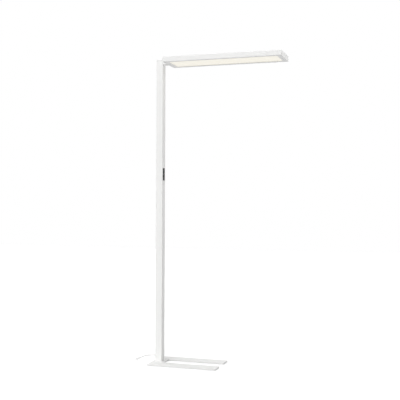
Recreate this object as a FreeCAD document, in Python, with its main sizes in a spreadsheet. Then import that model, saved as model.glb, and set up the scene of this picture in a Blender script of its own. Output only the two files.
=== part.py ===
"""Office floor lamp: a fork-shaped steel foot, a rectangular column and a flat cantilevered head.

The head shines down through an opal sheet and up through a lens in its cover. Three keys on
the column switch and dim it. Millimetres; +Z is up, +X runs from the column towards the free
end of the head, and the origin is on the floor, on the column's axis.
"""
import FreeCAD, Part
import math
import os
import re

import Sketcher

Vector = FreeCAD.Vector

SIZES = {
    "lamp_height": 1950,
    "fit_gap": 0.15,            # around pieces that drop into each other
    "screw_gap": 0.05,          # around a screw's thread
    # foot: a steel plate with a slot that straddles the leg of a desk
    "base_length": 450,
    "base_width": 275,
    "base_thickness": 10,
    "base_rear": 14,            # how far the plate reaches behind the column
    "base_corner": 3,
    "base_chamfer": 0.6,
    "crossbar_depth": 76.5,     # the closed end of the fork
    "slot_width": 104,
    "slot_corner": 4,
    "pad_height": 2,
    "pad_radius": 12,
    "pad_inset": 20,            # from the plate's edges to a pad's centre
    "foot_screw_head": 6,
    "foot_screw_length": 34,
    # column: an aluminium extrusion with a screw port in each corner
    "column_depth": 43,
    "column_width": 53,
    "column_wall": 2,
    "column_corner": 1.5,
    "port_inset": 6.5,          # from the outer faces to a port's centre
    "port_wall": 2,
    "port_radius": 3,
    "cap_thickness": 2.5,
    "cap_skirt": 8,
    "cap_half": 9.2,            # half the cap's skirt, between the screw ports
    # neck between column and head
    "head_gap": 27,
    "neck_width": 50,
    "neck_height": 29,
    "neck_round": 2,
    "neck_bore": 4.5,
    "plate_thickness": 3,
    "plate_width": 28,
    "plate_height": 24.6,
    "neck_screw_across": 19,
    "neck_screw_up": 16,
    "neck_screw_radius": 2.5,
    "neck_screw_grip": 9,       # thread in the neck
    "neck_screw_head": 4.2,
    "neck_screw_cap": 2.6,
    # head
    "head_length": 765,
    "head_width": 225,
    "head_height": 31,
    "head_wall": 4,
    "head_floor": 2,
    "head_edge": 0.6,
    "rim_wall": 2,              # the wall that stays beside the cover
    "cover_thickness": 1.5,
    "border_side": 28,
    "border_column": 38,
    "border_free": 31,
    "post_inset": 7,            # from the outer faces to a cover screw
    "post_radius": 4,
    "cover_screw_radius": 1.5,
    "cover_screw_length": 8,
    "cover_screw_head": 2.75,
    # light unit, from the window upwards
    "sheet_overlap": 4,         # the opal sheet on the window's border
    "opal_thickness": 2,
    "guide_thickness": 3,
    "guide_inset": 2.5,
    "reflector_thickness": 1,
    "foam_height": 4,
    "foam_width": 12,
    "foam_length": 150,
    "foam_count": 5,
    "strip_thickness": 1.6,
    "strip_height": 7,
    "diode_pitch": 25,
    "diode_side": 3,
    "diode_height": 0.8,
    "tray_thickness": 1.5,
    "tray_foot": 10,
    "boss_height": 2.5,
    "boss_radius": 3.5,
    "tray_screw_radius": 1.25,
    "tray_screw_pitch": 300,
    "board_length": 280,
    "board_width": 100,
    "board_gap": 20,
    "board_rows": 3,
    "board_thickness": 1.6,
    "uplight_length": 600,
    "uplight_width": 130,
    "uplight_overlap": 6,
    "connector_start": 12,
    "connector_length": 16,
    "connector_width": 24,
    "connector_height": 18,
    "lead_radius": 0.75,
    "lead_overlap": 5,          # on the board that it is soldered to
    # control on the column
    "control_height": 1213,     # its middle, above the floor
    "bezel_length": 79,
    "bezel_width": 34,
    "bezel_proud": 0.6,
    "bezel_corner": 2.5,
    "bezel_edge": 0.3,
    "bezel_body_length": 76.8,
    "bezel_body_width": 28.4,
    "bezel_wall": 1.2,
    "bezel_web": 2.5,           # around the keys, behind the column's face
    "barb_width": 8,
    "barb_reach": 1.2,
    "barb_thickness": 3,
    "key_width": 24,
    "key_height": 22,
    "key_pitch": 25,
    "key_gap": 0.3,
    "key_lip": 0.8,
    "key_recess": 0.2,
    "key_travel": 0.8,
    "key_edge": 0.6,
    "control_depth": 8.5,       # from the column's face to the board
    "switch_side": 6,
    "switch_height": 3.4,
    "plunger_radius": 1.7,
    "plunger_depth": 0.8,       # in the switch's well, at rest
    # mains inlet and driver
    "inlet_height": 45,
    "cord_radius": 3.1,
    "gland_length": 28,
    "gland_radius": 6,
    "gland_flange": 8.5,
    "gland_tip": 4.2,
    "flange_thickness": 2.5,
    "nut_across": 18,
    "nut_height": 4,
    "core_radius": 1.1,
    "core_bend": 10,
    "carrier_face": 8,          # the driver's side of the carrier, from the column's axis
    "carrier_end": 6,           # past the driver's upper tab
    "carrier_width": 28,
    "carrier_thickness": 2,
    "carrier_foot": 19,
    "carrier_foot_width": 44,
    "carrier_screw_radius": 2,
    "carrier_screw_head": 4,
    "carrier_screw_across": 36,
    "terminal_height": 98,
    "terminal_length": 20,
    "terminal_width": 22,
    "terminal_depth": 14,
    "terminal_pitch": 6.5,
    "terminal_well": 2.5,
    "driver_height": 144,
    "driver_length": 280,
    "driver_width": 28,
    "driver_depth": 20,
    "driver_tab": 12,
    "driver_tab_thickness": 1.5,
    "driver_screw_radius": 1.5,
    "wire_radius": 2.75,
    "wire_offset": -6,
    "wire_bend": 22,
    "control_wire_radius": 1.6,
    "control_wire_offset": 2,
    "control_wire_drop": 24,    # below the control's middle
    # mains lead: hank of its spare length, tie and plug
    "hank_distance": 300,
    "hank_bearing": 110.78,     # degrees from +X
    "hank_half_length": 52,
    "hank_loop": 21,
    "hank_waist": 12.6,
    "tie_width": 12,
    "tie_thickness": 0.9,
    "plug_start": 67,
    "plug_sleeve": 28,
    "plug_radius": 18,
    "plug_length": 36,
    "pin_radius": 2.4,
    "pin_length": 19,
    "pin_spacing": 19,
}

# The lead from the gland to the hank, and from the hank to the plug.
LEAD_ROUTE = [
    (-49.5, 0, 45), (-73, 0, 45), (-98, -2, 39), (-121, -4, 28.5), (-141.5, -5, 15.5),
    (-160, -1, 6.2), (-174, 11, 3.1), (-181, 30, 3.1), (-180, 52, 3.1), (-175, 77, 3.1),
    (-171, 103, 3.1), (-171, 129, 3.1), (-168, 153, 3.1), (-157, 173, 3.1),
    (-142.5, 189.5, 3.1), (-129.5, 205.5, 3.1), (-119, 222, 3.1), (-116, 240.4, 3.1),
]
TAIL_ROUTE = [
    (-116, 240.4, 9.3), (-113.9, 255.2, 12), (-112.5, 269.6, 15.2), (-115.9, 284.3, 15.6),
    (-121, 300.6, 15.6), (-124.1, 316.6, 16.6), (-125.6, 331, 18), (-130.2, 343.1, 18),
]

doc = FreeCAD.newDocument("office_floor_lamp")
sheet = doc.addObject("Spreadsheet::Sheet", "Sizes")
for row, (name, value) in enumerate(SIZES.items(), start=1):
    sheet.set(f"A{row}", name)
    sheet.set(f"B{row}", str(value))
    sheet.setAlias(f"B{row}", name)
doc.recompute()


class Values:
    """The sheet's values, for the shapes that are worked out in code."""

    def __getattr__(self, name):
        return float(getattr(sheet, name))


S = Values()
NODES = []
TOUCH = 1e-4
ALONG_X = Vector(1, 0, 0)
ALONG_Z = Vector(0, 0, 1)
CORNERS = [(a, b) for a in (-1, 1) for b in (-1, 1)]
STEPS = (-1, 0, 1)

# Places that several pieces share, as expressions over the sheet.
COLUMN_FOOT = "(pad_height + base_thickness)"
COLUMN_TOP = "(lamp_height - cap_thickness)"
COLUMN_FRONT = "(column_depth / 2)"
COLUMN_INSIDE = "(column_depth / 2 - column_wall)"
HEAD_START = "(column_depth / 2 + head_gap)"
HEAD_BOTTOM = "(lamp_height - head_height)"
NECK_MIDDLE = "(neck_height / 2)"
BASE_BACK = "(-column_depth / 2 - base_rear)"
BASE_FRONT = "(base_length - column_depth / 2 - base_rear)"
SLOT_END = "(crossbar_depth - column_depth / 2 - base_rear)"
GUIDE_BOTTOM = "(head_floor + opal_thickness)"
REFLECTOR_BOTTOM = f"({GUIDE_BOTTOM} + guide_thickness)"
FOAM_BOTTOM = f"({REFLECTOR_BOTTOM} + reflector_thickness)"
TRAY_TOP = f"({FOAM_BOTTOM} + foam_height + tray_thickness)"
TRAY_SIDE = "(head_width / 2 - border_side + sheet_overlap + fit_gap)"
TRAY_SCREW_SIDE = f"({TRAY_SIDE} + tray_thickness + tray_foot / 2)"
KEY_BACK = "(bezel_web + fit_gap)"
CARRIER_LENGTH = f"(driver_height + driver_length + driver_tab + carrier_end - {COLUMN_FOOT})"


def signed(sign, text):
    return f"{sign} * ({text})"


def ex(text):
    """An expression over the sheet: each size's name gets the sheet's name in front."""
    return re.sub(r"\b[a-z]+(?:_[a-z]+)+\b", lambda found: "Sizes." + found.group(0), text)


def number(text):
    """The value of a shared place."""
    return float(sheet.evalExpression(re.sub(r"Sizes\.", "", ex(text))))


def place(piece, x="0", y="0", z="0"):
    """Stand a piece in the lamp's frame."""
    for axis, text in zip("xyz", (x, y, z)):
        piece.setExpression(f"Placement.Base.{axis}", ex(text))


def new_body(label, x="0", y="0", z="0"):
    """A sub-part made of sketches and features."""
    body = doc.addObject("PartDesign::Body", label)
    body.Label = label
    place(body, x, y, z)
    NODES.append(body)
    return body


def new_sketch(body, role, offset="0"):
    """A sketch on one of the body's own origin planes, moved along the plane's normal."""
    sketch = body.newObject("Sketcher::SketchObject", "sketch")
    plane = [p for p in body.Origin.OriginFeatures if p.Role == role][0]
    sketch.AttachmentSupport = [(plane, "")]
    sketch.MapMode = "FlatFace"
    sketch.setExpression("AttachmentOffset.Base.z", ex(offset))
    return sketch


def pin_point(sketch, geometry, vertex, x, y):
    """Hold a point of the sketch at two expressions, measured from the sketch's origin."""
    for kind, text in (("DistanceX", x), ("DistanceY", y)):
        index = sketch.addConstraint(Sketcher.Constraint(kind, -1, 1, geometry, vertex, 1.0))
        sketch.setExpression(f"Constraints[{index}]", ex(text))


def outline(sketch, corners):
    """A closed outline of straight sides through corners given as pairs of expressions."""
    first = sketch.GeometryCount
    count = len(corners)
    points = [Vector(number(x), number(y), 0) for x, y in corners]
    for start, end in zip(points, points[1:] + points[:1]):
        sketch.addGeometry(Part.LineSegment(start, end), False)
    for i, (x, y) in enumerate(corners):
        following = first + (i + 1) % count
        sketch.addConstraint(Sketcher.Constraint("Coincident", first + i, 2, following, 1))
        pin_point(sketch, first + i, 1, x, y)


def rectangle(sketch, x0, x1, y0, y1):
    outline(sketch, [(x0, y0), (x1, y0), (x1, y1), (x0, y1)])


def centred(sketch, width, height, x="0", y="0"):
    """A rectangle about a point."""
    rectangle(sketch, f"{x} - ({width}) / 2", f"{x} + ({width}) / 2",
              f"{y} - ({height}) / 2", f"{y} + ({height}) / 2")


def circle(sketch, x, y, radius):
    middle = Vector(number(x), number(y), 0)
    index = sketch.addGeometry(Part.Circle(middle, ALONG_Z, number(radius)), False)
    pin_point(sketch, index, 3, x, y)
    held = sketch.addConstraint(Sketcher.Constraint("Radius", index, 1.0))
    sketch.setExpression(f"Constraints[{held}]", ex(radius))


def feature(body, kind, sketch, length, reverse):
    """A pad or pocket of a stated length. A pocket that removes nothing is an error."""
    doc.recompute()
    before = body.Shape.Volume if body.Tip else 0
    made = body.newObject(f"PartDesign::{kind}", kind.lower())
    made.Profile = sketch
    made.Reversed = reverse
    made.setExpression("Length", ex(length))
    body.Tip = made
    doc.recompute()
    if kind == "Pocket" and body.Shape.Volume > before - TOUCH:
        raise ValueError(f"{body.Label}: a pocket cuts nothing")


def pad(body, sketch, length, reverse=False):
    feature(body, "Pad", sketch, length, reverse)


def pocket(body, sketch, length, reverse=False):
    feature(body, "Pocket", sketch, length, reverse)


def dress(body, kind, size, wanted):
    """A fillet or chamfer on those edges of the body so far that pass a test."""
    base = body.Tip
    names = [f"Edge{i}" for i, edge in enumerate(base.Shape.Edges, start=1) if wanted(edge)]
    made = body.newObject(f"PartDesign::{kind}", kind.lower())
    made.Base = (base, names)
    made.setExpression("Radius" if kind == "Fillet" else "Size", ex(size))
    body.Tip = made
    doc.recompute()


def along(edge, axis):
    """Whether an edge is straight and parallel to an axis."""
    if edge.Curve.TypeId != "Part::GeomLine":
        return False
    return abs(abs(edge.tangentAt(edge.FirstParameter).dot(axis)) - 1) < TOUCH


def upright(edge):
    return along(edge, ALONG_Z)


def level(edge, height):
    """Whether an edge lies at one height of its body."""
    box = edge.BoundBox
    return abs(box.ZMin - height) < TOUCH and abs(box.ZMax - height) < TOUCH


def facing(edge, x):
    """Whether an edge lies in a plane across X."""
    box = edge.BoundBox
    return abs(box.XMin - x) < TOUCH and abs(box.XMax - x) < TOUCH


def round_edge(edge, radius):
    """Whether an edge is a circle of a radius."""
    return edge.Curve.TypeId == "Part::GeomCircle" and abs(edge.Curve.Radius - radius) < TOUCH


def block(label, length, width, height, x, z):
    """A plain board or sheet, centred across Y."""
    piece = doc.addObject("Part::Box", label)
    piece.Label = label
    for side, text in (("Length", length), ("Width", width), ("Height", height)):
        piece.setExpression(side, ex(text))
    place(piece, x, f"-({width}) / 2", z)
    NODES.append(piece)


def worked_out(label, shapes, placement=None):
    """A sub-part whose shape is worked out in code: one solid, or a group of like ones."""
    piece = doc.addObject("Part::Feature", label)
    piece.Label = label
    piece.Shape = shapes[0] if len(shapes) == 1 else Part.makeCompound(shapes)
    if placement:
        piece.Placement = placement
    NODES.append(piece)


def turned(profile):
    """A solid of revolution about Z from (radius, height) points."""
    points = [Vector(radius, 0, height) for radius, height in profile]
    face = Part.Face(Part.makePolygon(points + points[:1]))
    return face.revolve(Vector(), ALONG_Z, 360)


def hexagon(across, height):
    """A six-sided prism on the XY plane, measured across its flats."""
    reach = across / math.sqrt(3)
    turns = [math.radians(60 * i) for i in range(7)]
    wire = Part.makePolygon([Vector(reach * math.cos(t), reach * math.sin(t), 0) for t in turns])
    return Part.Face(wire).extrude(Vector(0, 0, height))


def flat_screw(head, core, length):
    """A countersunk screw with a hexagon socket. Its head's flat face is at the origin and
    its point is at +Z."""
    shape = turned([(0, 0), (head, 0), (core, head - core), (core, length), (0, length)])
    return shape.cut(hexagon(core, head - core))


def cap_screw(head, cap, core, length):
    """A screw with a domed head below the origin and its thread above it."""
    shape = turned([(0, -cap), (head * 0.6, -cap), (head, -cap / 2), (head, 0), (core, 0),
                    (core, length), (0, length)])
    return shape.cut(hexagon(core * 1.2, cap * 0.6).translated(Vector(0, 0, -cap)))


def aimed(shape, foot, direction):
    """A copy of a shape made along +Z, stood at a foot point and aimed along a direction."""
    copy = shape.copy()
    copy.Placement = FreeCAD.Placement(foot, FreeCAD.Rotation(ALONG_Z, direction))
    return copy


# ---------------------------------------------------------------- foot
def make_base_plate():
    body = new_body("base_plate", z="pad_height")
    plan = new_sketch(body, "XY_Plane")
    side, slot = "base_width / 2", "slot_width / 2"
    outline(plan, [
        (BASE_BACK, f"-{side}"), (BASE_FRONT, f"-{side}"), (BASE_FRONT, f"-{slot}"),
        (SLOT_END, f"-{slot}"), (SLOT_END, slot), (BASE_FRONT, slot),
        (BASE_FRONT, side), (BASE_BACK, side),
    ])
    pad(body, plan, "base_thickness")
    back, front, slot_end = number(BASE_BACK), number(BASE_FRONT), number(SLOT_END)

    def at_slot_end(edge):
        return upright(edge) and abs(edge.BoundBox.XMin - slot_end) < TOUCH

    def at_ends(edge):
        x = edge.BoundBox.XMin
        return upright(edge) and min(abs(x - back), abs(x - front)) < TOUCH

    dress(body, "Fillet", "slot_corner", at_slot_end)
    dress(body, "Fillet", "base_corner", at_ends)
    dress(body, "Chamfer", "base_chamfer", lambda edge: level(edge, S.base_thickness))

    holes = new_sketch(body, "XY_Plane")
    for a, b in CORNERS:
        circle(holes, signed(a, "column_depth / 2 - port_inset"),
               signed(b, "column_width / 2 - port_inset"), "port_radius + fit_gap")
    for a in (-1, 1):
        circle(holes, "0", signed(a, "carrier_screw_across / 2"),
               "carrier_screw_radius + fit_gap")
    pocket(body, holes, "base_thickness", reverse=True)
    for head, core in (("foot_screw_head", "port_radius"),
                       ("carrier_screw_head", "carrier_screw_radius")):
        radius = number(f"{core} + fit_gap")
        dress(body, "Chamfer", f"{head} - {core} - fit_gap",
              lambda edge: level(edge, 0) and round_edge(edge, radius))


def make_foot_screws():
    """From below the plate into the column's screw ports."""
    x, y = S.column_depth / 2 - S.port_inset, S.column_width / 2 - S.port_inset
    screw = flat_screw(S.foot_screw_head, S.port_radius - S.screw_gap, S.foot_screw_length)
    worked_out("foot_screws", [aimed(screw, Vector(a * x, b * y, S.pad_height), ALONG_Z)
                               for a, b in CORNERS])


def make_floor_pads():
    """Rubber pads: one under the column and one near each corner of the plate."""
    back, front = number(BASE_BACK) + S.pad_inset, number(BASE_FRONT) - S.pad_inset
    side = S.base_width / 2 - S.pad_inset
    bevel = S.pad_height / 2
    shape = turned([(0, 0), (S.pad_radius - bevel, 0), (S.pad_radius, bevel),
                    (S.pad_radius, S.pad_height), (0, S.pad_height)])
    feet = [Vector()] + [Vector(x, b * side, 0) for x in (back, front) for b in (-1, 1)]
    worked_out("floor_pads", [aimed(shape, foot, ALONG_Z) for foot in feet])


# ---------------------------------------------------------------- column
def make_column():
    length = f"{COLUMN_TOP} - {COLUMN_FOOT}"
    body = new_body("column_tube", z=COLUMN_FOOT)
    profile = new_sketch(body, "XY_Plane")
    centred(profile, "column_depth", "column_width")
    centred(profile, "column_depth - 2 * column_wall", "column_width - 2 * column_wall")
    pad(body, profile, length)
    dress(body, "Fillet", "column_corner", lambda edge: upright(edge)
          and abs(abs(edge.BoundBox.XMin) - S.column_depth / 2) < TOUCH)

    webs, tubes, ports = (new_sketch(body, "XY_Plane") for _ in range(3))
    for a, b in CORNERS:
        x = signed(a, "column_depth / 2 - port_inset")
        y = signed(b, "column_width / 2 - port_inset")
        inset = "port_inset - column_wall / 2"
        centred(webs, inset, inset, f"{x} + {signed(a, inset)} / 2", f"{y} + {signed(b, inset)} / 2")
        circle(tubes, x, y, "port_radius + port_wall")
        circle(ports, x, y, "port_radius")
    pad(body, webs, length)
    pad(body, tubes, length)
    pocket(body, ports, length, reverse=True)

    front = new_sketch(body, "YZ_Plane", f"{COLUMN_FRONT} + 1")
    centred(front, "bezel_body_width + 2 * fit_gap", "bezel_body_length + 2 * fit_gap",
            y=f"control_height - {COLUMN_FOOT}")
    neck = f"{HEAD_BOTTOM} + {NECK_MIDDLE} - {COLUMN_FOOT}"
    circle(front, "0", neck, "neck_bore")
    screw_circles(front, neck, "neck_screw_radius + fit_gap")
    pocket(body, front, "column_wall + 2")

    rear = new_sketch(body, "YZ_Plane", f"-{COLUMN_FRONT} - 1")
    circle(rear, "0", f"inlet_height - {COLUMN_FOOT}", "gland_radius + fit_gap")
    pocket(body, rear, "column_wall + 2", reverse=True)


def make_column_cap():
    body = new_body("column_cap", z=COLUMN_TOP)
    top = new_sketch(body, "XY_Plane")
    centred(top, "column_depth", "column_width")
    pad(body, top, "cap_thickness")
    dress(body, "Fillet", "column_corner", upright)
    dress(body, "Fillet", "head_edge", lambda edge: level(edge, S.cap_thickness))
    skirt = new_sketch(body, "XY_Plane")
    length = "column_width - 2 * column_wall - 2 * fit_gap"
    centred(skirt, "2 * cap_half", length)
    centred(skirt, "2 * cap_half - 2 * column_wall", f"{length} - 2 * column_wall")
    pad(body, skirt, "cap_skirt", reverse=True)


# ---------------------------------------------------------------- neck
def screw_circles(sketch, height, radius):
    """The four holes of the neck's screws."""
    for a, b in CORNERS:
        circle(sketch, signed(a, "neck_screw_across / 2"),
               f"{height} + {signed(b, 'neck_screw_up / 2')}", radius)


def make_neck():
    body = new_body("neck_block", x=COLUMN_FRONT, z=HEAD_BOTTOM)
    end = new_sketch(body, "YZ_Plane")
    rectangle(end, "-neck_width / 2", "neck_width / 2", "0", "neck_height")
    circle(end, "0", NECK_MIDDLE, "neck_bore")
    pad(body, end, "head_gap")
    dress(body, "Fillet", "neck_round", lambda edge: along(edge, ALONG_X))
    for offset, reverse in (("0", True), ("head_gap", False)):
        holes = new_sketch(body, "YZ_Plane", offset)
        screw_circles(holes, NECK_MIDDLE, "neck_screw_radius + screw_gap")
        pocket(body, holes, "neck_screw_grip + 1", reverse=reverse)


def make_clamp_plate(label, x):
    """A steel plate that spreads the load of the neck's screws behind a thin wall."""
    body = new_body(label, x=x, z=f"{HEAD_BOTTOM} + {NECK_MIDDLE}")
    face = new_sketch(body, "YZ_Plane")
    centred(face, "plate_width", "plate_height")
    circle(face, "0", "0", "neck_bore")
    screw_circles(face, "0", "neck_screw_radius + fit_gap")
    pad(body, face, "plate_thickness")
    dress(body, "Chamfer", "head_edge", lambda edge: along(edge, ALONG_X))


def make_neck_screws(label, plate_face, direction, wall):
    """Four screws through a clamp plate and a wall into the neck."""
    grip = S.plate_thickness + wall + S.neck_screw_grip
    screw = cap_screw(S.neck_screw_head, S.neck_screw_cap, S.neck_screw_radius, grip)
    middle = number(f"{HEAD_BOTTOM} + {NECK_MIDDLE}")
    y, z = S.neck_screw_across / 2, S.neck_screw_up / 2
    worked_out(label, [aimed(screw, Vector(plate_face, a * y, middle + b * z), direction)
                       for a, b in CORNERS])


# ---------------------------------------------------------------- head
def window(sketch, by="0"):
    """The light's opening in the underside, let out on every side."""
    rectangle(sketch, f"border_column - ({by})", f"head_length - border_free + ({by})",
              f"border_side - head_width / 2 - ({by})", f"head_width / 2 - border_side + ({by})")


def cover_screw_places():
    """Four cover screws along each long side, in the head's frame."""
    step = "(head_length - 2 * post_inset) / 3"
    return [(f"post_inset + {i} * {step}", signed(b, "head_width / 2 - post_inset"))
            for i in range(4) for b in (-1, 1)]


def tray_screw_places():
    """Three screws along each long side of the gear tray, in the head's frame."""
    return [(f"head_length / 2 + {i} * tray_screw_pitch", signed(b, TRAY_SCREW_SIDE))
            for i in STEPS for b in (-1, 1)]


def make_head_housing():
    body = new_body("head_housing", x=HEAD_START, z=HEAD_BOTTOM)
    plan = new_sketch(body, "XY_Plane")
    rectangle(plan, "0", "head_length", "-head_width / 2", "head_width / 2")
    pad(body, plan, "head_height")
    dress(body, "Fillet", "column_corner", upright)
    dress(body, "Fillet", "head_edge",
          lambda edge: level(edge, 0) or level(edge, S.head_height))
    inside = new_sketch(body, "XY_Plane", "head_height")
    rectangle(inside, "head_wall", "head_length - head_wall",
              "head_wall - head_width / 2", "head_width / 2 - head_wall")
    pocket(body, inside, "head_height - head_floor")

    posts, bosses = (new_sketch(body, "XY_Plane", "head_floor") for _ in range(2))
    for x, y in cover_screw_places():
        circle(posts, x, y, "post_radius")
    for x, y in tray_screw_places():
        circle(bosses, x, y, "boss_radius")
    pad(body, posts, "head_height - head_floor - cover_thickness")
    pad(body, bosses, "boss_height")
    rebate = new_sketch(body, "XY_Plane", "head_height")
    rectangle(rebate, "rim_wall", "head_length - rim_wall",
              "rim_wall - head_width / 2", "head_width / 2 - rim_wall")
    pocket(body, rebate, "cover_thickness")

    opening = new_sketch(body, "XY_Plane", "head_floor")
    window(opening)
    pocket(body, opening, "head_floor")
    threads = new_sketch(body, "XY_Plane", "head_height - cover_thickness")
    for x, y in cover_screw_places():
        circle(threads, x, y, "cover_screw_radius + screw_gap")
    pocket(body, threads, "cover_screw_length")
    threads = new_sketch(body, "XY_Plane", "head_floor + boss_height")
    for x, y in tray_screw_places():
        circle(threads, x, y, "tray_screw_radius + screw_gap")
    pocket(body, threads, "head_floor / 2 + boss_height")
    end = new_sketch(body, "YZ_Plane")
    circle(end, "0", NECK_MIDDLE, "neck_bore")
    screw_circles(end, NECK_MIDDLE, "neck_screw_radius + fit_gap")
    pocket(body, end, "head_wall", reverse=True)


def make_top_cover():
    body = new_body("top_cover", x=HEAD_START, z="lamp_height - cover_thickness")
    plan = new_sketch(body, "XY_Plane")
    rim = "(rim_wall + fit_gap)"
    rectangle(plan, rim, f"head_length - {rim}", f"{rim} - head_width / 2",
              f"head_width / 2 - {rim}")
    centred(plan, "uplight_length", "uplight_width", x="head_length / 2")
    pad(body, plan, "cover_thickness")
    holes = new_sketch(body, "XY_Plane")
    for x, y in cover_screw_places():
        circle(holes, x, y, "cover_screw_radius + fit_gap")
    pocket(body, holes, "cover_thickness", reverse=True)
    radius = S.cover_screw_radius + S.fit_gap
    dress(body, "Chamfer", "cover_screw_head - cover_screw_radius - fit_gap",
          lambda edge: level(edge, S.cover_thickness) and round_edge(edge, radius))


def make_cover_screws():
    screw = flat_screw(S.cover_screw_head, S.cover_screw_radius, S.cover_screw_length)
    start = number(HEAD_START)
    worked_out("cover_screws", [
        aimed(screw, Vector(start + number(x), number(y), S.lamp_height), -ALONG_Z)
        for x, y in cover_screw_places()])


def make_sheet(label, inset, thickness, height):
    """A sheet over the window. Its edges stand in from those of the opal sheet."""
    body = new_body(label, x=HEAD_START, z=f"{HEAD_BOTTOM} + {height}")
    plan = new_sketch(body, "XY_Plane")
    window(plan, f"sheet_overlap - {inset}")
    pad(body, plan, thickness)


def make_foam_strips():
    """Soft strips between the reflector and the tray. They press the sheets down."""
    start = number(HEAD_START) + S.border_column
    length = S.head_length - S.border_column - S.border_free
    foot = number(f"{HEAD_BOTTOM} + {FOAM_BOTTOM}")
    strips = []
    count = int(S.foam_count)
    for i in range(count):
        middle = start + length * (i + 0.5) / count
        strips.append(Part.makeBox(S.foam_width, S.foam_length, S.foam_height,
                                   Vector(middle - S.foam_width / 2, -S.foam_length / 2, foot)))
    worked_out("foam_strips", strips)


def make_gear_tray():
    """A folded steel tray over the sheets. It carries the boards."""
    foot = "head_floor + boss_height"
    body = new_body("gear_tray", x=f"{HEAD_START} + border_column - sheet_overlap",
                    z=HEAD_BOTTOM)
    inner, outer = TRAY_SIDE, f"({TRAY_SIDE} + tray_thickness)"
    tip = f"({TRAY_SIDE} + tray_thickness + tray_foot)"
    under = f"{TRAY_TOP} - tray_thickness"
    right = [(inner, under), (inner, foot), (tip, foot), (tip, f"{foot} + tray_thickness"),
             (outer, f"{foot} + tray_thickness"), (outer, TRAY_TOP)]
    left = [(f"-{y}", z) for y, z in reversed(right)]
    section = new_sketch(body, "YZ_Plane")
    outline(section, right + left)
    pad(body, section, "head_length - border_column - border_free + 2 * sheet_overlap")
    holes = new_sketch(body, "XY_Plane", foot)
    for x, y in tray_screw_places():
        circle(holes, f"{x} - border_column + sheet_overlap", y, "tray_screw_radius + fit_gap")
    pocket(body, holes, "tray_thickness", reverse=True)


def make_tray_screws():
    start = number(HEAD_START)
    seat = number(f"{HEAD_BOTTOM} + head_floor + boss_height + tray_thickness")
    screw = cap_screw(2 * S.tray_screw_radius, S.tray_thickness, S.tray_screw_radius,
                      S.tray_thickness + S.boss_height)
    worked_out("tray_screws", [aimed(screw, Vector(start + number(x), number(y), seat), -ALONG_Z)
                               for x, y in tray_screw_places()])


def make_edge_strips():
    """Two boards of light-emitting diodes that stand along the guide's long edges."""
    start = number(HEAD_START) + S.border_column
    length = S.head_length - S.border_column - S.border_free
    bottom = number(f"{HEAD_BOTTOM} + {GUIDE_BOTTOM}")
    outer = S.head_width / 2 - S.border_side + S.sheet_overlap
    gap = S.guide_inset - S.strip_thickness
    reach = gap - S.screw_gap
    count = int(length // S.diode_pitch)
    first = (length - (count - 1) * S.diode_pitch) / 2
    strips = []
    for side in (-1, 1):
        strip = Part.makeBox(length, S.strip_thickness, S.strip_height,
                             Vector(0, -S.strip_thickness / 2, 0))
        inwards = -side * (S.strip_thickness + reach) / 2
        diodes = [Part.makeBox(S.diode_side, reach, S.diode_height,
                               Vector(first + i * S.diode_pitch - S.diode_side / 2,
                                      inwards - reach / 2,
                                      (S.guide_thickness - S.diode_height) / 2))
                  for i in range(count)]
        strip = strip.multiFuse(diodes)
        strip.translate(Vector(start, side * (outer - S.strip_thickness / 2), bottom))
        strips.append(strip)
    worked_out("edge_strips", strips)


def make_uplight_boards():
    """Two boards on the tray, with rows of light-emitting diodes below the lens."""
    middle = number(f"{HEAD_START} + head_length / 2")
    bottom = number(f"{HEAD_BOTTOM} + {TRAY_TOP}")
    boards = []
    rows = int(S.board_rows)
    columns = int(S.board_length // (S.board_width / rows))
    for side in (-1, 1):
        board = Part.makeBox(S.board_length, S.board_width, S.board_thickness)
        diodes = [Part.makeBox(S.diode_side, S.diode_side, S.diode_height,
                               Vector(S.board_length * (i + 0.5) / columns - S.diode_side / 2,
                                      S.board_width * (j + 0.5) / rows - S.diode_side / 2,
                                      S.board_thickness))
                  for i in range(columns) for j in range(rows)]
        board = board.multiFuse(diodes)
        start = S.board_gap / 2 if side > 0 else -S.board_gap / 2 - S.board_length
        board.translate(Vector(middle + start, -S.board_width / 2, bottom))
        boards.append(board)
    worked_out("uplight_boards", boards)


def make_uplight_lens():
    body = new_body("uplight_lens", x=f"{HEAD_START} + head_length / 2",
                    z="lamp_height - cover_thickness - opal_thickness")
    plan = new_sketch(body, "XY_Plane")
    centred(plan, "uplight_length + 2 * uplight_overlap", "uplight_width + 2 * uplight_overlap")
    pad(body, plan, "opal_thickness")


def make_light_leads():
    """Leads from the connector to the uplight boards and to the edge strips."""
    start = number(f"{HEAD_START} + connector_start")
    floor = number(f"{HEAD_BOTTOM} + {GUIDE_BOTTOM}")
    top = number(f"{HEAD_BOTTOM} + {TRAY_TOP} + board_thickness + lead_radius")
    board = number(f"{HEAD_START} + head_length / 2 - board_gap / 2 - board_length")
    strip = number(f"{HEAD_START} + border_column")
    edge = S.head_width / 2 - S.border_side + S.sheet_overlap - S.strip_thickness / 2
    leads = []
    for side in (-1, 1):
        y = side * S.connector_width / 4
        foot = Vector(start + S.connector_length, y, top)
        length = board + S.lead_overlap - foot.x
        leads.append(Part.makeCylinder(S.lead_radius, length, foot, ALONG_X))
        middle, height = start + S.connector_length / 2, floor + S.strip_height / 2
        leads.append(sweep([(middle, side * S.connector_width / 2, height),
                            (middle, side * edge, height), (strip, side * edge, height)],
                           S.lead_radius))
    worked_out("light_leads", leads)


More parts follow.
